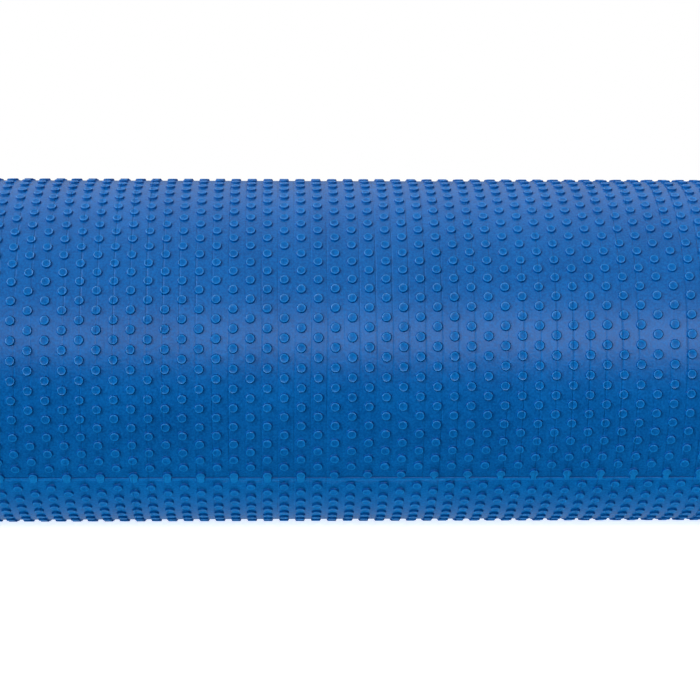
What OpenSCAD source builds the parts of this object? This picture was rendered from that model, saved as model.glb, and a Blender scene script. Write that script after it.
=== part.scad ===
// Hollow-core foam roller. A textured foam skin in two moulded halves is bonded over a
// firm foam sleeve, the sleeve is bonded to a rigid tube, and a trim ring snaps into
// each end of the tube. The roller's axis lies along X, the origin is at its centre,
// +Z is up and the front of the roller faces -Y.

/* [Roller] */
// Length of the roller
roller_length = 450; // [300:10:900]
// Diameter over the raised dots of the skin
roller_diameter = 150; // [140:1:170]

/* [Textured skin] */
// Thickness of the skin, dots included
skin_thickness = 6; // [4:0.5:8]
// Chamfer where the skin meets an end face
skin_chamfer = 2.5; // [1:0.5:3.5]
// How far round the seam between the two skin halves lies below the front
seam_angle = 45.8; // [0:0.1:90]

/* [Core tube] */
// Outside diameter of the tube
tube_diameter = 110; // [100:1:114]
// Wall thickness of the tube
tube_wall = 3.5; // [3:0.1:5]

/* [End rings] */
// How far the flange reaches beyond the tube's outside
flange_overhang = 5; // [3:0.5:6]
// Thickness of the flange
flange_thickness = 3; // [2:0.5:5]
// How deep the flange sits below the foam's end face
flange_recess = 1; // [0.5:0.5:3]
// Length of the spigot inside the tube's rebate
spigot_length = 16; // [12:1:30]
// Wall thickness of the spigot
spigot_wall = 1.7; // [1.2:0.1:1.9]

/* [Hidden] */
$fn = 128;

outer_r = roller_diameter / 2;
skin_inner_r = outer_r - skin_thickness;
tube_r = tube_diameter / 2;
bore_r = tube_r - tube_wall;
flange_r = tube_r + flange_overhang;
half_length = roller_length / 2;

// The flange drops into a pocket in the sleeve's end and bears on the tube's end.
pocket_depth = flange_recess + flange_thickness;
pocket_gap = 0.15;
tube_end = half_length - pocket_depth;

// The spigot fills a rebate in the tube, so that the bore runs flush from end to end.
spigot_r = bore_r + spigot_wall;
spigot_gap = 0.05;
rebate_r = spigot_r + spigot_gap;
rebate_length = spigot_length + 0.3;

// A bead round the spigot snaps into a groove in the rebate.
bead_height = 0.5;
bead_width = 2.4;
bead_inset = 8;
bead_middle = tube_end - bead_inset;
groove_grow = 0.1;

edge_chamfer = 0.8;
ring_chamfer = 1;
// How far round from straight down the seam lies, turning towards the front.
seam_from_bottom = 90 - seam_angle;

foam_blue = [0.03, 0.33, 0.62];
sleeve_blue = [0.05, 0.24, 0.46];
tube_grey = [0.16, 0.17, 0.18];
ring_black = [0.07, 0.07, 0.08];

// Turns a section drawn as (radius, distance along the roller) about the roller's axis.
module turned(from = 0, sweep = 360) {
  rotate([0, 90, 0])
    rotate([0, 0, from])
      rotate_extrude(angle = sweep) children();
}

// The bead on a spigot, or with grow the groove it snaps into, as corners of a section.
function bead(radius, grow) = [
  [radius, bead_middle - bead_width / 2 - grow],
  [radius + bead_height, bead_middle - bead_width / 4 - grow],
  [radius + bead_height, bead_middle + bead_width / 4 + grow],
  [radius, bead_middle + bead_width / 2 + grow]
];

// One end of the tube's section, from the bore to the outside, at the +X end.
function tube_end_section() = concat(
  [[bore_r, tube_end - rebate_length],
   [rebate_r, tube_end - rebate_length]],
  bead(rebate_r, groove_grow),
  [[rebate_r, tube_end - edge_chamfer / 2],
   [rebate_r + edge_chamfer / 2, tube_end],
   [tube_r - edge_chamfer, tube_end],
   [tube_r, tube_end - edge_chamfer]]
);

function mirrored(points) = [
  for (i = [len(points) - 1:-1:0]) [points[i][0], -points[i][1]]
];

module core_tube() {
  color(tube_grey)
    turned() polygon(concat(tube_end_section(), mirrored(tube_end_section())));
}

module foam_sleeve() {
  pocket_r = flange_r + pocket_gap;
  color(sleeve_blue)
    turned() polygon([
      [tube_r, -tube_end],
      [pocket_r, -tube_end],
      [pocket_r, -half_length],
      [skin_inner_r, -half_length],
      [skin_inner_r, half_length],
      [pocket_r, half_length],
      [pocket_r, tube_end],
      [tube_r, tube_end]
    ]);
}

// Half of the skin, sweeping half a turn from the given angle.
module skin_half(from) {
  color(foam_blue)
    turned(from, 180) polygon([
      [skin_inner_r, -half_length],
      [outer_r - skin_chamfer, -half_length],
      [outer_r, -half_length + skin_chamfer],
      [outer_r, half_length - skin_chamfer],
      [outer_r - skin_chamfer, half_length],
      [skin_inner_r, half_length]
    ]);
}

module skin_upper() {
  skin_half(180 - seam_from_bottom);
}

module skin_lower() {
  skin_half(-seam_from_bottom);
}

// The trim ring at the +X end: a flange over the tube's end and a beaded spigot.
module end_ring() {
  face = half_length - flange_recess;
  color(ring_black)
    turned() polygon(concat(
      [[bore_r, tube_end - spigot_length],
       [spigot_r - edge_chamfer / 2, tube_end - spigot_length],
       [spigot_r, tube_end - spigot_length + edge_chamfer / 2]],
      bead(spigot_r, 0),
      [[spigot_r, tube_end],
       [flange_r, tube_end],
       [flange_r, face - ring_chamfer],
       [flange_r - ring_chamfer, face],
       [bore_r + ring_chamfer, face],
       [bore_r, face - ring_chamfer]]
    ));
}

module end_ring_left() {
  mirror([1, 0, 0]) end_ring();
}

module end_ring_right() {
  end_ring();
}

core_tube();
foam_sleeve();
skin_upper();
skin_lower();
end_ring_left();
end_ring_right();
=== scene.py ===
"""Hollow-core foam roller.

A dotted foam skin in two moulded halves, a foam sleeve, a rigid tube and two end rings.
"""

import math

import bmesh
import bpy
import numpy as np
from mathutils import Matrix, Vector
from mathutils.geometry import delaunay_2d_cdt

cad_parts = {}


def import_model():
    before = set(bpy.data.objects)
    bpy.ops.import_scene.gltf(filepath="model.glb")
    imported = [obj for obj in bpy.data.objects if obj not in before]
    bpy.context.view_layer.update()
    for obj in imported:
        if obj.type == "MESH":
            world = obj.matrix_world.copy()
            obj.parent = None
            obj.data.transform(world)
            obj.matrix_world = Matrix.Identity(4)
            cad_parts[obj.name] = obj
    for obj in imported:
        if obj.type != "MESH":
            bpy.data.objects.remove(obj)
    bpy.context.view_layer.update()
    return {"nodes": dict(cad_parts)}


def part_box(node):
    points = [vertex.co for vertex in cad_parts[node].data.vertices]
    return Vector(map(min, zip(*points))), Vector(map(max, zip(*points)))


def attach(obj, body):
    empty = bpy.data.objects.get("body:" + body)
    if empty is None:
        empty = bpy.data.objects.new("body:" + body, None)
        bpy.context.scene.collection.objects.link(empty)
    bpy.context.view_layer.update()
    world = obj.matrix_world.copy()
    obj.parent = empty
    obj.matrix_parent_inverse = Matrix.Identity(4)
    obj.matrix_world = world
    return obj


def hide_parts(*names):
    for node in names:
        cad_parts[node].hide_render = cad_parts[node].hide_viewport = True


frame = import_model()
MM = 0.001

# Sizes from the frame, in millimetres.
SKIN_LOW, SKIN_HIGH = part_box("skin_upper")
SKIN_R = SKIN_HIGH.z / MM
HALF_LENGTH = SKIN_HIGH.x / MM
SEAM = math.asin(-SKIN_LOW.z / SKIN_HIGH.z)  # the angle from the front down to the front seam
SLEEVE_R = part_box("foam_sleeve")[1].z / MM
TUBE_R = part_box("core_tube")[1].z / MM
TUBE_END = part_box("core_tube")[1].x / MM
FLANGE_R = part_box("end_ring_right")[1].z / MM
RING_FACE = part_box("end_ring_right")[1].x / MM
RING_INNER_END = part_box("end_ring_right")[0].x / MM
TUBE_WALL = 3.5
BORE_R = TUBE_R - TUBE_WALL

# The dot pattern, in millimetres and degrees.
DOTS_ROUND = 57
COLUMN_PITCH = 6.93
COLUMNS_EACH_SIDE = 31
ROW_RISE_DEG = 0.6
FIRST_DOT = 0.377  # pitches from the front seam up to the first dot of an odd column
DOT_HEIGHT = 0.9
# A dot's section from its foot to its top, as (radius, height): a steep flank, a lip and a shallow dish.
DOT_RINGS = [(2.2, 0.0), (2.1, 0.12), (2.0, 0.52), (1.86, 0.8), (1.66, DOT_HEIGHT), (1.36, 0.81)]
DOT_CENTRE_HEIGHT = 0.76
BASE_R = SKIN_R - DOT_HEIGHT

# Mesh edges along each side of a dot's cell. It is even, so that columns half a step apart still meet.
CELL_SIDE = 4
RING_SIDES = 4 * CELL_SIDE
PITCH = 2 * math.pi / DOTS_ROUND
HALF_TURN = DOTS_ROUND / 2
RISE = math.tan(math.radians(ROW_RISE_DEG))
PITCH_MM = PITCH * SKIN_R

# The moulding ridge along each seam, which stands on the lower side. Each line of it is
# (distance above the parting line, height, whether it moves where the ridge gets wider).
RIDGE_HEIGHT = 0.3
RIDGE = [
    (0.14, 0.0, True),
    (0.0, 0.22, False),
    (-0.16, RIDGE_HEIGHT, False),
    (-1.35, RIDGE_HEIGHT, True),
    (-1.7, 0.0, True),
]
RIDGE_SWING = 0.15
# The waves by which the ridge's width changes along the roller: (share, turn for each millimetre, start).
RIDGE_WAVES = [(1.0, 0.021, 1.3), (0.6, 0.057, 0.4), (0.4, 0.131, 0.0)]

# Where the dots stop at the seam, in millimetres above it, apart from CELL_CLEAR.
CELL_CLEAR = 0.8  # a dot nearer the seam than this, in pitches, is meshed with the seam
UPPER_STOP = 1.0  # the upper half has no dot nearer the seam than this
LOWER_STOP = -2.9  # the lower half has no dot nearer the seam than this
STEM_REACH = 4.9  # an upper dot nearer than this runs on past the seam as a stem
STEM_PULL = 0.8  # and is drawn this far towards it
# The stems by stretch: (where the stretch starts, the stem's end above the seam, its half width).
STEMS = [
    (-230, 0.2, 1.0),
    (-196, -0.3, 1.5),
    (-168, -0.7, 1.95),
    (-14, 0.0, 0.0),
    (26, -0.1, 1.05),
    (53, 0.4, 1.5),
    (146, -0.4, 1.9),
    (188, 0.0, 0.0),
    (209, 0.3, 1.2),
]
STEM_EDGE = 0.4  # how wide the slope along a stem's side is
STEM_HEIGHT = 0.85
STEM_SIDES = 8  # mesh edges round a stem's end

# Points nearer than this, in millimetres or in pitches, are taken as one.
NEAR = 1e-6
SEAM_SNAP = 1e-5
# The grid on which points are merged: steps in a millimetre along the roller, and in a pitch round it.
MERGE_GRID = [1e4, 1e5]


# ---------------------------------------------------------------- the textured skin

def seam_at(x):
    """Where the front seam lies at x, in pitches above where it lies at mid length."""
    return -RISE * x / (SKIN_R * PITCH)


def ridge_offsets(x):
    """The distances of RIDGE's lines at x: the ridge is wider in some stretches than in others."""
    wave = sum(share * math.sin(x * turn + start) for share, turn, start in RIDGE_WAVES)
    swell = 1 + RIDGE_SWING * wave
    return [place * swell if moves else place for place, _, moves in RIDGE]


def dot_profile(distance):
    """Height of a dot's surface at a distance from its centre."""
    radii = [0.0] + [r for r, _ in reversed(DOT_RINGS)]
    heights = [DOT_CENTRE_HEIGHT] + [h for _, h in reversed(DOT_RINGS)]
    return float(np.interp(distance, radii, heights, right=0.0))


def ridge_profile(distance, x):
    """Height of the ridge's surface at a distance above the seam."""
    heights = [height for _, height, _ in RIDGE]
    return float(np.interp(distance, ridge_offsets(x)[::-1], heights[::-1]))


def stem_at(x):
    """(end above the seam, half width) of the stems in the stretch that x lies in."""
    return next(stem[1:] for stem in reversed(STEMS) if x >= stem[0])


def ring_points(radius):
    """A ring whose corners face a square cell's edge points, counter-clockwise from the lower left."""
    angles = [math.pi * (-0.75 + 2 * i / RING_SIDES) for i in range(RING_SIDES)]
    return [(radius * math.cos(a), radius * math.sin(a)) for a in angles]


def cell_edge_points():
    """The cell's edge points, counter-clockwise from the lower left, in cell widths and heights."""
    steps = [-0.5 + i / CELL_SIDE for i in range(CELL_SIDE)]
    bottom = [(s, -0.5) for s in steps]
    right = [(0.5, s) for s in steps]
    top = [(-s, 0.5) for s in steps]
    left = [(-0.5, -s) for s in steps]
    return bottom + right + top + left


def cell_template():
    """One dot's cell: points as (x in mm, up in pitches, height in mm), and its faces."""
    points = [(x * COLUMN_PITCH, up, 0.0) for x, up in cell_edge_points()]
    for radius, height in DOT_RINGS:
        points += [(x, y / PITCH_MM, height) for x, y in ring_points(radius)]
    points.append((0.0, 0.0, DOT_CENTRE_HEIGHT))
    faces = []
    for ring in range(len(DOT_RINGS)):
        a, b = ring * RING_SIDES, (ring + 1) * RING_SIDES
        for i in range(RING_SIDES):
            j = (i + 1) % RING_SIDES
            faces.append((a + i, a + j, b + j, b + i))
    inner, centre = len(DOT_RINGS) * RING_SIDES, len(points) - 1
    faces += [(inner + i, inner + (i + 1) % RING_SIDES, centre) for i in range(RING_SIDES)]
    return np.array(points), faces


def first_dot(column):
    """Where the column's first dot lies, in pitches above the front seam at mid length."""
    return FIRST_DOT if column % 2 else FIRST_DOT + 0.5


def seam_cells(column):
    """(first, last) of the dots of this column that have a whole cell clear of both seams."""
    gap = first_dot(column) - seam_at(column * COLUMN_PITCH)
    first = math.ceil(CELL_CLEAR - gap)
    below = HALF_TURN - gap - math.floor(HALF_TURN - gap - CELL_CLEAR)
    last = round(HALF_TURN - gap - below)
    return first, last


class Strip:
    """The stretch of one column that holds the front seam, with the dots of both halves near it."""

    def __init__(self, column):
        self.x = column * COLUMN_PITCH
        self.seam = seam_at(self.x)
        first, last = seam_cells(column)
        start = first_dot(column)
        self.top = start + first - 0.5
        self.bottom = start + last + 0.5 - HALF_TURN
        self.dots = []
        self.stems = []
        for n in range(first):
            gap = (start + n - self.seam) * PITCH_MM
            if UPPER_STOP <= gap < STEM_REACH:
                self.add_stem(gap - STEM_PULL)
            elif gap >= STEM_REACH:
                self.dots.append(start + n)
        for n in range(last + 1, last + 4):
            up = start + n - HALF_TURN
            if (up - self.seam) * PITCH_MM <= LOWER_STOP:
                self.dots.append(up)

    def add_stem(self, gap):
        """A dot this far above the seam, in millimetres, with its stem where the stretch has stems."""
        end, width = stem_at(self.x)
        high = self.seam + gap / PITCH_MM
        self.dots.append(high)
        if width:
            self.stems.append((self.seam + end / PITCH_MM, high, width))

    def height(self, x, up):
        """Height over the skin's base at x from the column's middle, and up in pitches."""
        found = ridge_profile((up - seam_at(self.x + x)) * PITCH_MM, self.x + x)
        for centre in self.dots:
            found = max(found, dot_profile(math.hypot(x, (up - centre) * PITCH_MM)))
        for low, high, width in self.stems:
            along = max(0.0, (low - up) * PITCH_MM)
            if up <= high:
                inside = min(1.0, (width - math.hypot(x, along)) / STEM_EDGE)
                found = max(found, STEM_HEIGHT * inside)
        return found

    def ridge_lines(self, x):
        """The seam and the ridge's lines at x, in pitches."""
        return [seam_at(self.x + x) + offset / PITCH_MM for offset in ridge_offsets(self.x + x)]

    def outline(self):
        """Points of the outline, counter-clockwise. Neighbouring columns share those on a side."""
        half = COLUMN_PITCH / 2
        count = round((self.top - self.bottom) * CELL_SIDE)
        sides = {}
        for side in (-half, half):
            ups = [self.bottom + i / CELL_SIDE for i in range(count + 1)] + self.ridge_lines(side)
            sides[side] = sorted(ups)
        across = [-half + i * COLUMN_PITCH / CELL_SIDE for i in range(1, CELL_SIDE)]
        points = [(x, self.bottom) for x in across]
        points += [(half, up) for up in sides[half]]
        points += [(x, self.top) for x in reversed(across)]
        points += [(-half, up) for up in reversed(sides[-half])]
        return points

    def mesh(self):
        """Triangles of the strip as (points, triangles), with each point as (x, up, height)."""
        points = self.outline()
        edges = [(i, (i + 1) % len(points)) for i in range(len(points))]
        half = COLUMN_PITCH / 2
        for line in range(len(RIDGE)):
            left, middle, right = ((side, self.ridge_lines(side)[line]) for side in (-half, 0.0, half))
            at = len(points)
            points.append(middle)
            edges += [(points.index(left), at), (at, points.index(right))]
        for centre in self.dots:
            for radius, _ in DOT_RINGS:
                at = len(points)
                points += [(x, centre + y / PITCH_MM) for x, y in ring_points(radius)]
                edges += [(at + i, at + (i + 1) % RING_SIDES) for i in range(RING_SIDES)]
            points.append((0.0, centre))
        for low, high, width in self.stems:
            for reach in (width, width - STEM_EDGE):
                at = len(points)
                arc = [math.pi * (1 + i / STEM_SIDES) for i in range(STEM_SIDES + 1)]
                points.append((-reach, high))
                points += [(reach * math.cos(a), low + reach * math.sin(a) / PITCH_MM) for a in arc]
                points.append((reach, high))
                edges += [(i, i + 1) for i in range(at, len(points) - 1)]
        flat = [Vector((x, (up - self.seam) * PITCH_MM)) for x, up in points]
        found, _, faces, origins, _, _ = delaunay_2d_cdt(flat, edges, [], 0, SEAM_SNAP)
        made = []
        for place, origin in zip(found, origins, strict=True):
            x, up = points[origin[0]] if origin else (place.x, self.seam + place.y / PITCH_MM)
            made.append((self.x + x, up, self.height(x, up)))
        return made, [tuple(f) for f in faces]


def half_surface():
    """The dotted face of one half, from the front seam over the top to the back seam: (points, faces)."""
    template, faces = cell_template()
    columns = range(-COLUMNS_EACH_SIDE, COLUMNS_EACH_SIDE + 1)
    places = []
    for column in columns:
        first, last = seam_cells(column)
        places += [(column * COLUMN_PITCH, first_dot(column) + n, 0.0) for n in range(first, last + 1)]
    places = np.array(places)
    points = [(template[None] + places[:, None]).reshape(-1, 3)]
    all_faces = []
    for i in range(len(places)):
        at = i * len(template)
        all_faces += [tuple(at + v for v in f) for f in faces]
    count = len(points[0])
    for column in columns:
        strip, triangles = Strip(column).mesh()
        strip = np.array(strip)
        above = []
        below = []
        for face in triangles:
            middle = strip[list(face)].mean(0)
            (above if middle[1] > seam_at(middle[0]) else below).append(face)
        for side, shift in ((above, 0.0), (below, HALF_TURN)):
            points.append(strip + np.array([0.0, shift, 0.0]))
            all_faces += [tuple(count + v for v in f) for f in side]
            count += len(strip)
    return np.concatenate(points), all_faces


def merged(points, faces):
    """Joins points that lie in one place, and drops unused points and faces that have collapsed."""
    keys = np.round(points[:, :2] * MERGE_GRID).astype(np.int64)
    _, keep, again = np.unique(keys, axis=0, return_index=True, return_inverse=True)
    again = again.reshape(-1)
    kept = []
    for face in faces:
        corners = [int(again[v]) for v in face]
        if len(set(corners)) == len(corners):
            kept.append(corners)
    used = np.unique(np.concatenate([np.array(f) for f in kept]))
    number = np.full(len(keep), -1)
    number[used] = np.arange(len(used))
    return points[keep][used], [[int(number[v]) for v in f] for f in kept]


class Shell:
    """Points in space, in millimetres, and faces, with helpers that add rings of points."""

    def __init__(self, places, faces):
        self.places = [tuple(p) for p in places]
        self.faces = faces

    def add(self, x, angle, radius):
        self.places.append((x, -radius * math.cos(angle), -radius * math.sin(angle)))
        return len(self.places) - 1

    def bridge(self, a, b):
        """Faces between two rows of points of the same count."""
        self.faces += [[b[i], b[i + 1], a[i + 1], a[i]] for i in range(len(a) - 1)]


# The rounded ends of the skin, in millimetres.
EDGE_ROUND = 2.5
EDGE_STEPS = 5
INNER_BEVEL = 0.35


def end_rows(sign):
    """Rows round the edge and down the end face: (x, fall below the dotted face, radius if fixed)."""
    rows = [(sign * (HALF_LENGTH - EDGE_ROUND), 0.0, None)]
    for i in range(1, EDGE_STEPS + 1):
        turn = math.pi / 2 * i / EDGE_STEPS
        x = HALF_LENGTH - EDGE_ROUND * (1 - math.sin(turn))
        rows.append((sign * x, EDGE_ROUND * (1 - math.cos(turn)), None))
    rows.append((sign * HALF_LENGTH, 0.0, SLEEVE_R + INNER_BEVEL))
    rows.append((sign * (HALF_LENGTH - INNER_BEVEL), 0.0, SLEEVE_R))
    return rows


def half_shell():
    """One closed half of the skin, in space: dotted face, rounded ends, parting faces and inner face."""
    points, faces = merged(*half_surface())
    angle = SEAM - points[:, 1] * PITCH - RISE * points[:, 0] / SKIN_R
    radius = BASE_R + points[:, 2]
    places = np.stack([points[:, 0], -radius * np.cos(angle), -radius * np.sin(angle)], 1)
    shell = Shell(places, [list(f) for f in faces])
    x_end = (COLUMNS_EACH_SIDE + 0.5) * COLUMN_PITCH
    inner = {}
    profiles = {0: [], 1: []}
    for sign in (-1, 1):
        row = np.flatnonzero(np.abs(points[:, 0] - sign * x_end) < NEAR)
        row = [int(v) for v in row[np.argsort(points[row, 1])]]
        turned = [float(angle[v]) for v in row]
        outer = [float(radius[v]) for v in row]
        trail = {0: [], 1: []}
        for x, fall, fixed in end_rows(sign):
            new = [shell.add(x, a, fixed or r - fall) for a, r in zip(turned, outer, strict=True)]
            shell.bridge(*((row, new) if sign > 0 else (new, row)))
            row = new
            trail[0].append(row[0])
            trail[1].append(row[-1])
        inner[sign] = (row, turned)
        profiles[0].append(trail[0])
        profiles[1].append(trail[1])
    zip_rows(shell, inner[1], inner[-1])
    from_seam = points[:, 1] - seam_at(points[:, 0])
    for side, up in ((0, 0.0), (1, HALF_TURN)):
        edge = np.flatnonzero(np.abs(from_seam - up) < NEAR)
        edge = [int(v) for v in edge[np.argsort(points[edge, 0])]]
        left, right = profiles[side]
        loop = left[::-1] + edge + right
        shell.faces.append(loop[::-1] if side == 0 else loop)
    return shell


def zip_rows(shell, right, left):
    """Triangles between two rows of points on the inner face that have different angles."""
    (a, at_a), (b, at_b) = right, left
    i = j = 0
    while i < len(a) - 1 or j < len(b) - 1:
        step_a = j == len(b) - 1 or (i < len(a) - 1 and at_a[i + 1] > at_b[j + 1])
        if step_a:
            shell.faces.append([a[i + 1], a[i], b[j]])
            i += 1
        else:
            shell.faces.append([a[i], b[j], b[j + 1]])
            j += 1


def link(obj):
    """Puts the object in the scene."""
    bpy.context.scene.collection.objects.link(obj)
    return obj


def mesh_object(name, places, faces, material, smooth_below=38):
    """An object from points in millimetres, smooth except across edges over smooth_below degrees."""
    mesh = bpy.data.meshes.new(name)
    mesh.from_pydata([tuple(c * MM for c in p) for p in places], [], faces)
    mesh.update()
    mesh.validate()
    mesh.polygons.foreach_set("use_smooth", [True] * len(mesh.polygons))
    mesh.set_sharp_from_angle(angle=math.radians(smooth_below))
    mesh.materials.append(material)
    return link(bpy.data.objects.new(name, mesh))


def skin_halves(material):
    """The two halves are one moulding, the lower one turned half round the roller's axis."""
    shell = half_shell()
    upper = mesh_object("skin_upper_foam", shell.places, shell.faces, material)
    turned = [(x, -y, -z) for x, y, z in shell.places]
    lower = mesh_object("skin_lower_foam", turned, shell.faces, material)
    for piece, node in ((upper, "skin_upper"), (lower, "skin_lower")):
        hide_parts(node)
        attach(piece, "root")


# ---------------------------------------------------------------- turned parts

POCKET_GAP = 0.15
POCKET_EDGE_ROUND = 0.5
SPIGOT_WALL = 1.7
RING_GROOVE_DEPTH = 0.4
RING_GROOVE_TOP = 0.6  # half the groove's width at the flange's face
RING_GROOVE_FLOOR = 0.3


def lathe(name, section, material, sides=192):
    """A closed ring turned round the roller's axis, from a section of (x, radius) corners in order."""
    places = []
    for i in range(sides):
        a = 2 * math.pi * i / sides
        places += [(x, -r * math.cos(a), -r * math.sin(a)) for x, r in section]
    count = len(section)
    faces = []
    for i in range(sides):
        j = (i + 1) % sides
        for k in range(count):
            m = (k + 1) % count
            faces.append([i * count + k, i * count + m, j * count + m, j * count + k])
    return mesh_object(name, places, faces, material, smooth_below=30)


def rounded(section, radii, steps=4):
    """The section with each corner rounded to its radius."""
    found = []
    for i, (here, radius) in enumerate(zip(section, radii, strict=True)):
        here = Vector(here)
        before = Vector(section[i - 1]) - here
        after = Vector(section[(i + 1) % len(section)]) - here
        if not radius:
            found.append(tuple(here))
            continue
        start = here + before.normalized() * radius
        end = here + after.normalized() * radius
        for k in range(steps + 1):
            t = k / steps
            point = (1 - t) ** 2 * start + 2 * t * (1 - t) * here + t * t * end
            found.append((point.x, point.y))
    return found


def sleeve(material):
    """The foam sleeve, with a pocket for a ring's flange in each end."""
    pocket_r = FLANGE_R + POCKET_GAP
    right = [(TUBE_END, TUBE_R), (TUBE_END, pocket_r), (HALF_LENGTH, pocket_r), (HALF_LENGTH, SLEEVE_R)]
    radii = [0.0, 0.0, POCKET_EDGE_ROUND, INNER_BEVEL]
    left = [(-x, r) for x, r in reversed(right)]
    piece = lathe("sleeve_foam", rounded(right + left, radii + radii[::-1]), material)
    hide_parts("foam_sleeve")
    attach(piece, "root")


def end_ring(name, node, sign, material):
    """A trim ring with a soft lip at the bore and one shallow groove round its flange."""
    spigot_r = BORE_R + SPIGOT_WALL
    groove_r = (BORE_R + FLANGE_R) / 2
    groove_x = RING_FACE - RING_GROOVE_DEPTH
    section = [
        (RING_INNER_END, BORE_R),
        (RING_INNER_END, spigot_r),
        (TUBE_END, spigot_r),
        (TUBE_END, FLANGE_R),
        (RING_FACE, FLANGE_R),
        (RING_FACE, groove_r + RING_GROOVE_TOP),
        (groove_x, groove_r + RING_GROOVE_FLOOR),
        (groove_x, groove_r - RING_GROOVE_FLOOR),
        (RING_FACE, groove_r - RING_GROOVE_TOP),
        (RING_FACE, BORE_R),
    ]
    # How far each corner is rounded, in the same order.
    radii = [0.3, 0.4, 0.0, 0.2, 0.9, 0.15, 0.1, 0.1, 0.15, 1.2]
    section = [(sign * x, r) for x, r in rounded(section, radii)]
    piece = lathe(name, section[::-1] if sign > 0 else section, material)
    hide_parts(node)
    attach(piece, "root")


# ---------------------------------------------------------------- materials

class Nodes:
    """A short way to write the nodes of a material, or of the world."""

    def __init__(self, owner, shader="Principled BSDF"):
        owner.use_nodes = True
        self.owner = owner
        self.tree = owner.node_tree
        self.shader = self.tree.nodes[shader]

    def add(self, kind, **settings):
        node = self.tree.nodes.new("ShaderNode" + kind)
        for key, value in settings.items():
            setattr(node, key, value)
        return node

    def link(self, source, target):
        if isinstance(source, (int, float, tuple)):
            target.default_value = source
        else:
            self.tree.links.new(source, target)

    def math(self, operation, a, b=0.0, clamp=False):
        node = self.add("Math", operation=operation, use_clamp=clamp)
        self.link(a, node.inputs[0])
        self.link(b, node.inputs[1])
        return node.outputs[0]

    def place(self):
        return self.add("TexCoord").outputs["Object"]

    def split(self, vector):
        node = self.add("SeparateXYZ")
        self.link(vector, node.inputs[0])
        return node.outputs

    def scaled(self, vector, x, y, z):
        node = self.add("Mapping")
        self.link(vector, node.inputs["Vector"])
        node.inputs["Scale"].default_value = (x, y, z)
        return node.outputs[0]

    def noise(self, vector, scale, detail=2.0, roughness=0.5):
        node = self.add("TexNoise")
        self.link(vector, node.inputs["Vector"])
        node.inputs["Scale"].default_value = scale
        node.inputs["Detail"].default_value = detail
        node.inputs["Roughness"].default_value = roughness
        return node.outputs["Fac"]

    def cells(self, vector, scale):
        node = self.add("TexVoronoi")
        self.link(vector, node.inputs["Vector"])
        node.inputs["Scale"].default_value = scale
        return node.outputs["Distance"]

    def spread(self, value, low, high, to_low=0.0, to_high=1.0):
        """The value's range from low to high, spread over the range from to_low to to_high."""
        node = self.add("MapRange")
        self.link(value, node.inputs["Value"])
        node.inputs["From Min"].default_value = low
        node.inputs["From Max"].default_value = high
        node.inputs["To Min"].default_value = to_low
        node.inputs["To Max"].default_value = to_high
        return node.outputs[0]

    def bell(self, value, middle, spread):
        """1 where value is at the middle, and falling away smoothly on both sides."""
        offset = self.math("DIVIDE", self.math("SUBTRACT", value, middle), spread)
        square = self.math("MULTIPLY", offset, offset)
        return self.math("POWER", math.e, self.math("MULTIPLY", square, -1.0))

    def altered(self, value, masks, changes):
        """The value plus a share of each named mask."""
        for name, change in changes.items():
            value = self.math("ADD", value, self.math("MULTIPLY", masks[name], change))
        return value

    def mix(self, share, a, b):
        """The colour that lies this share of the way from a to b."""
        node = self.add("Mix", data_type="RGBA")
        # Sockets 6 and 7 take this node's two colours, and socket 2 gives the mixed one.
        self.link(share, node.inputs[0])
        self.link(a, node.inputs[6])
        self.link(b, node.inputs[7])
        return node.outputs[2]

    def bump(self, height, distance, strength=1.0, normal=None):
        node = self.add("Bump")
        node.inputs["Strength"].default_value = strength
        node.inputs["Distance"].default_value = distance
        self.link(height, node.inputs["Height"])
        if normal is not None:
            self.link(normal, node.inputs["Normal"])
        return node.outputs[0]

    def set(self, **inputs):
        for key, value in inputs.items():
            self.link(value, self.shader.inputs[key.replace("_", " ")])
        return self.owner


def new_material(name):
    return Nodes(bpy.data.materials.new(name))


NOISE = (0.3, 0.7)  # the range that most of a noise lies in

SKIN_BLUE = (0.0006, 0.072, 0.272, 1.0)
SKIN_BLUE_LIGHT = (0.0024, 0.142, 0.470, 1.0)
PATCH_SHADE = (0.25, 0.5)
GRAIN_SHADE = 0.35
# What each feature adds to the shade, which runs from 0 at SKIN_BLUE to 1 at SKIN_BLUE_LIGHT.
# The changes on the lip and the ridge are painted highlights; those beside the ridge and above the seam
# are painted shade.
SHADE_CHANGES = {"dot": 0.1, "lip": 0.3, "ridge": 0.5, "gap": -0.5, "seam_shade": -0.2, "groove": -0.12}
# A painted highlight on each dot's lip: the colour that the lip is mixed towards, and how far.
LIP_HIGHLIGHT_BLUE = (0.012, 0.31, 0.70, 1.0)
LIP_HIGHLIGHT_SHARE = 0.22
# Painted shade on each dot's flank and in the crease at its foot: the colour that the flank is mixed
# towards, and how far.
FLANK_SHADE_BLUE = (0.0006, 0.036, 0.19, 1.0)
FLANK_SHADE_SHARE = 0.6
SKIN_ROUGHNESS = (0.18, 0.26)
# The shine of the ground between the dots, and what each feature adds to it.
GROUND_SHINE = 0.5
SHINE_CHANGES = {"dot": -0.3, "lip": 0.6, "groove": -0.15, "flank": -0.15}

# Heights over the skin's base between which a feature fades in or out, in millimetres.
DOT_FOOT = (0.03, 0.12)
FLANK_TOP = (0.62, 0.8)
DOT_LIP = (0.8, 0.88)
OVER_RIDGE = (RIDGE_HEIGHT + 0.02, RIDGE_HEIGHT + 0.12)
# Distances above the parting line between which the ridge fades in and out, in millimetres.
RIDGE_FOOT = (-1.75, -1.45)
RIDGE_EDGE = (0.0, 0.1)
# The painted shade in a fine line beside the ridge, and the painted shade in a band above the seam:
# (middle, spread), likewise.
GAP_SHADE_BAND = (0.35, 0.25)
SEAM_SHADE_BAND = (3.0, 4.0)

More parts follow.
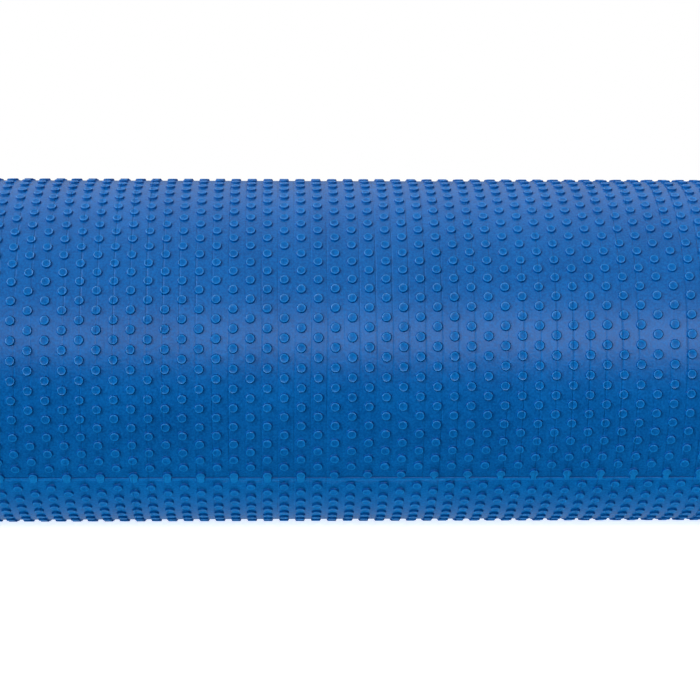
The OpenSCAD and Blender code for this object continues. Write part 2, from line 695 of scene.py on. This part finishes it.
# The mould's turning marks: their pitch and where the first lies, in millimetres.
TOOL_PITCH = 6.69
TOOL_START = 3.2
TOOL_WANDER = 0.03  # how far a mark strays, in pitches
TOOL_HALF_WIDTHS = 14.0  # how many half widths of a mark make a pitch
TOOL_SHIFT = 100.5  # added to the count of marks, to keep it above 0 all along the roller
TOOL_PRESENCE = (0.34, 0.58)


def seam_masks(n, y, z, height):
    """The moulding ridge, which is given a painted highlight, and painted shade in a fine line beside it
    and in a band above the seam.
    """
    across = n.math("MULTIPLY", z, math.cos(SEAM))
    parting = n.math("SUBTRACT", across, n.math("MULTIPLY", y, math.sin(SEAM)))
    side = n.math("SIGN", n.math("MULTIPLY", y, -1.0 / MM))
    above = n.math("MULTIPLY", n.math("DIVIDE", parting, MM), side)
    below_dots = n.spread(height, *OVER_RIDGE, 1.0, 0.0)
    ridge = n.math("MULTIPLY", n.spread(above, *RIDGE_FOOT), n.spread(above, *RIDGE_EDGE, 1.0, 0.0))
    return {
        "ridge": n.math("MULTIPLY", ridge, below_dots),
        "gap": n.math("MULTIPLY", n.bell(above, *GAP_SHADE_BAND), below_dots),
        "seam_shade": n.bell(above, *SEAM_SHADE_BAND),
    }


def turning_marks(n, place, x):
    """Fine grooves round the roller, deeper in some stretches than in others."""
    turns = n.math("DIVIDE", n.math("SUBTRACT", n.math("DIVIDE", x, MM), TOOL_START), TOOL_PITCH)
    wander = n.spread(n.noise(place, scale=9.0), *NOISE, -TOOL_WANDER, TOOL_WANDER)
    phase = n.math("FRACT", n.math("ADD", n.math("ADD", turns, wander), TOOL_SHIFT))
    near = n.math("MULTIPLY", n.math("ABSOLUTE", n.math("SUBTRACT", phase, 0.5)), TOOL_HALF_WIDTHS)
    line = n.math("SUBTRACT", 1.0, near, clamp=True)
    presence = n.spread(n.noise(n.scaled(place, 60.0, 14.0, 14.0), scale=1.0), *TOOL_PRESENCE)
    return n.math("MULTIPLY", line, presence)


def skin_material():
    """Moulded foam. A dot has a painted highlight on its lip and painted shade on its flank, and is
    duller than the ground.
    """
    n = new_material("skin_foam")
    place = n.place()
    x, y, z = n.split(place)
    out = n.math("SQRT", n.math("ADD", n.math("MULTIPLY", y, y), n.math("MULTIPLY", z, z)))
    height = n.math("SUBTRACT", n.math("DIVIDE", out, MM), BASE_R)
    masks = seam_masks(n, y, z, height)
    masks["groove"] = turning_marks(n, place, x)
    off_ridge = n.math("SUBTRACT", 1.0, masks["ridge"])
    masks["dot"] = n.math("MULTIPLY", n.spread(height, *DOT_FOOT), off_ridge)
    masks["lip"] = n.spread(height, *DOT_LIP)
    masks["flank"] = n.math("MULTIPLY", masks["dot"], n.spread(height, *FLANK_TOP, 1.0, 0.0))

    streaks = n.noise(n.scaled(place, 1300.0, 30.0, 30.0), scale=1.0, detail=3.0, roughness=0.6)
    grain = n.noise(place, scale=1100.0, detail=2.0, roughness=0.6)
    patches = n.noise(place, scale=45.0, detail=4.0, roughness=0.6)

    grain_shade = n.spread(grain, *NOISE, -GRAIN_SHADE, GRAIN_SHADE)
    shade = n.math("ADD", n.spread(patches, *NOISE, *PATCH_SHADE), grain_shade)
    shade = n.altered(shade, masks, SHADE_CHANGES)
    colour = n.mix(n.math("ADD", shade, 0.0, clamp=True), SKIN_BLUE, SKIN_BLUE_LIGHT)
    # A painted highlight on each dot's lip.
    colour = n.mix(n.math("MULTIPLY", masks["lip"], LIP_HIGHLIGHT_SHARE), colour, LIP_HIGHLIGHT_BLUE)
    # Painted shade on each dot's flank.
    colour = n.mix(n.math("MULTIPLY", masks["flank"], FLANK_SHADE_SHARE), colour, FLANK_SHADE_BLUE)

    normal = n.bump(n.math("SUBTRACT", 1.0, masks["groove"]), distance=0.0002, strength=0.9)
    normal = n.bump(streaks, distance=0.00008, strength=0.5, normal=normal)
    normal = n.bump(grain, distance=0.0001, strength=0.7, normal=normal)
    rough = n.spread(grain, *NOISE, *SKIN_ROUGHNESS)
    shine = n.altered(GROUND_SHINE, masks, SHINE_CHANGES)
    return n.set(Base_Color=colour, Roughness=rough, Normal=normal, Specular_IOR_Level=shine)


SLEEVE_DARK = (0.003, 0.045, 0.16, 1.0)
SLEEVE_LIGHT = (0.012, 0.135, 0.37, 1.0)
CELL_EDGE = (0.1, 0.7)
CELL_SHADE = (0.0, 0.8)
SLEEVE_PATCH_SHADE = (-0.1, 0.3)


def sleeve_material():
    """Foam whose cut face shows its fine closed cells."""
    n = new_material("sleeve_foam")
    place = n.place()
    cells = n.cells(place, scale=800.0)
    small = n.cells(place, scale=2400.0)
    patches = n.spread(n.noise(place, scale=40.0), *NOISE, *SLEEVE_PATCH_SHADE)
    shade = n.math("ADD", n.spread(cells, *CELL_EDGE, *CELL_SHADE), patches, clamp=True)
    colour = n.mix(shade, SLEEVE_DARK, SLEEVE_LIGHT)
    normal = n.bump(cells, distance=0.0003, strength=0.7)
    normal = n.bump(small, distance=0.00006, strength=0.4, normal=normal)
    return n.set(Base_Color=colour, Roughness=0.8, Normal=normal, Specular_IOR_Level=0.3)


TUBE_DARK = (0.018, 0.020, 0.022, 1.0)
TUBE_LIGHT = (0.030, 0.032, 0.035, 1.0)
TUBE_ROUGHNESS = (0.6, 0.75)


def tube_material():
    """Extruded plastic, with fine lines along the tube."""
    n = new_material("tube_plastic")
    place = n.place()
    lines = n.noise(n.scaled(place, 6.0, 900.0, 900.0), scale=1.0, detail=3.0, roughness=0.6)
    cloud = n.noise(place, scale=30.0)
    colour = n.mix(n.spread(cloud, *NOISE), TUBE_DARK, TUBE_LIGHT)
    rough = n.spread(lines, *NOISE, *TUBE_ROUGHNESS)
    normal = n.bump(lines, distance=0.00004, strength=0.4)
    return n.set(Base_Color=colour, Roughness=rough, Normal=normal)


RING_DARK = (0.008, 0.008, 0.009, 1.0)
RING_LIGHT = (0.018, 0.018, 0.020, 1.0)
RING_WEAR = (0.35, 0.7)
RING_ROUGHNESS = (0.42, 0.58)


def ring_material():
    """Moulded plastic with a fine spark-eroded grain."""
    n = new_material("ring_plastic")
    place = n.place()
    grain = n.noise(place, scale=1800.0, detail=2.0, roughness=0.6)
    wear = n.noise(place, scale=55.0, detail=3.0)
    colour = n.mix(n.spread(wear, *RING_WEAR), RING_DARK, RING_LIGHT)
    rough = n.spread(wear, *NOISE, *RING_ROUGHNESS)
    normal = n.bump(grain, distance=0.00005, strength=0.5)
    return n.set(Base_Color=colour, Roughness=rough, Normal=normal)


# ---------------------------------------------------------------- stage, light and camera

WHITE = (1.0, 1.0, 1.0, 1.0)
BLACK = (0.0, 0.0, 0.0, 1.0)
FLOOR_WHITE = (0.7, 0.7, 0.7, 1.0)
FLOOR_GLOW = 1.1
FLOOR_REACH = 30.0

WHITE_LIGHT = (1.0, 1.0, 1.0)
FLOOR_BOUNCE = (1.0, 1.0, 0.87)
# The studio's lamps: where each stands, half its width in degrees, how brightly it lights what
# faces it, and its colour.
LAMPS = {
    "front_lamp": ((-0.3, -1.0, 0.08), 46, 0.725, WHITE_LIGHT),
    "left_lamp": ((-1.0, -0.55, 0.35), 22, 0.64, WHITE_LIGHT),
    "top_lamp": ((-0.1, 0.6, 1.0), 18, 0.97, WHITE_LIGHT),
    "bottom_lamp": ((-0.06, 0.56, -1.0), 13, 1.62, FLOOR_BOUNCE),
    "right_lamp": ((1.0, 0.2, 0.3), 40, 0.32, WHITE_LIGHT),
    "back_lamp": ((-0.25, 1.0, 0.0), 62, 0.26, WHITE_LIGHT),
}
FILL_LIGHT = 0.12

# The studio that the roller mirrors: how brightly each part shines, and between which angles over the
# front horizon, in degrees, it fades in. The left wall fades in by its place in the dome.
DOME_RADIUS = 20.0
WALL_SHINE = 0.38
WALL_RISE = (-8.0, 2.0)
OVERHEAD_SHINE = 0.3
OVERHEAD_RISE = (60.0, 95.0)
BACK_SHINE = 0.2
BACK_RISE = (120.0, 165.0)
LOW_BACK_RISE = (-105.0, -150.0)
LEFT_SHINE = 2.1
LEFT_REACH = (-0.45, -0.85)
LEFT_FOOT = (-0.15, 0.2)
BOX_SHINE = 1.95
BOX_HEIGHT = 9.0  # the middle of the softbox, in degrees above the horizon
BOX_SPREAD = 17.0
BOX_RIGHT = 0.35
BOX_WIDTH = 0.5


def floor():
    """A pale floor that only the camera sees, so that light from below reaches the roller's underside."""
    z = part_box("skin_lower")[0].z
    corners = [(x * FLOOR_REACH, y * FLOOR_REACH, z) for x, y in ((-1, -1), (1, -1), (1, 1), (-1, 1))]
    mesh = bpy.data.meshes.new("floor")
    mesh.from_pydata(corners, [], [(0, 1, 2, 3)])
    obj = link(bpy.data.objects.new("floor", mesh))
    obj.visible_diffuse = obj.visible_glossy = obj.visible_shadow = False
    n = new_material("floor")
    n.set(Base_Color=FLOOR_WHITE, Specular_IOR_Level=0.0)
    n.set(Emission_Color=FLOOR_WHITE, Emission_Strength=FLOOR_GLOW)
    mesh.materials.append(n.owner)


def soft_lamp(name, toward, half_angle, brightness, colour):
    """A far, even lamp, wide enough to be soft. It doesn't show in reflections."""
    data = bpy.data.lights.new(name, "SUN")
    data.angle = math.radians(2 * half_angle)
    data.energy = brightness * math.pi
    data.color = colour
    data.cycles.use_multiple_importance_sampling = False
    obj = link(bpy.data.objects.new(name, data))
    obj.rotation_euler = Vector(toward).to_track_quat("Z", "Y").to_euler()
    obj.visible_glossy = False


def world():
    """White walls that the camera sees. They give a little fill light."""
    scene = bpy.context.scene
    scene.world = bpy.data.worlds.new("studio")
    n = Nodes(scene.world, "Background")
    camera_ray = n.add("LightPath").outputs["Is Camera Ray"]
    n.set(Color=WHITE, Strength=n.math("MAXIMUM", FILL_LIGHT, camera_ray))


def mirrored_studio():
    """A dome that shows in reflections only: walls, ceiling, a bright wall on the left and a softbox."""
    mesh = bpy.data.meshes.new("mirrored_studio")
    form = bmesh.new()
    bmesh.ops.create_icosphere(form, subdivisions=4, radius=DOME_RADIUS)
    form.to_mesh(mesh)
    form.free()
    obj = link(bpy.data.objects.new("mirrored_studio", mesh))
    obj.visible_camera = obj.visible_diffuse = obj.visible_shadow = False

    n = new_material("mirrored_studio")
    n.owner.cycles.emission_sampling = "NONE"
    shrink = 1 / DOME_RADIUS
    x, y, z = n.split(n.scaled(n.place(), shrink, shrink, shrink))
    rise = n.math("MULTIPLY", n.math("ARCTAN2", z, n.math("MULTIPLY", y, -1.0)), math.degrees(1))
    walls = n.spread(rise, *WALL_RISE, 0.0, WALL_SHINE)
    ceiling = n.spread(rise, *OVERHEAD_RISE, 0.0, OVERHEAD_SHINE)
    back = n.spread(rise, *BACK_RISE, 0.0, BACK_SHINE - WALL_SHINE - OVERHEAD_SHINE)
    low_back = n.spread(rise, *LOW_BACK_RISE, 0.0, BACK_SHINE)
    left = n.math("MULTIPLY", n.spread(x, *LEFT_REACH, 0.0, LEFT_SHINE), n.spread(z, *LEFT_FOOT))
    box = n.math("MULTIPLY", n.bell(rise, BOX_HEIGHT, BOX_SPREAD), n.bell(x, BOX_RIGHT, BOX_WIDTH))
    shine = n.math("MULTIPLY", box, BOX_SHINE)
    for part in (walls, ceiling, back, low_back, left):
        shine = n.math("ADD", shine, part)
    n.set(Base_Color=BLACK, Specular_IOR_Level=0.0, Emission_Color=WHITE, Emission_Strength=shine)
    mesh.materials.append(n.owner)


CAMERA_DISTANCE = 0.961
CAMERA_X = -0.029
CAMERA_TURN = 1.805  # degrees, to the right
CAMERA_LENS = 112.4


def camera():
    """Level with the roller's axis, and turned a little to the right."""
    data = bpy.data.cameras.new("camera")
    data.lens = CAMERA_LENS
    data.sensor_width = 36.0
    data.clip_start = 0.05
    data.clip_end = 60.0
    obj = link(bpy.data.objects.new("camera", data))
    obj.location = (CAMERA_X, -CAMERA_DISTANCE, 0.0)
    obj.rotation_euler = (math.radians(90), 0, -math.radians(CAMERA_TURN))
    bpy.context.scene.camera = obj


def main():
    camera()
    world()
    mirrored_studio()
    for name, lamp in LAMPS.items():
        soft_lamp(name, *lamp)
    floor()
    skin_halves(skin_material())
    sleeve(sleeve_material())
    ring_plastic = ring_material()
    end_ring("ring_left_moulded", "end_ring_left", -1, ring_plastic)
    end_ring("ring_right_moulded", "end_ring_right", 1, ring_plastic)
    tube = frame["nodes"]["core_tube"]
    tube.data.materials.clear()
    tube.data.materials.append(tube_material())
    bpy.context.scene.view_settings.view_transform = "Standard"


main()
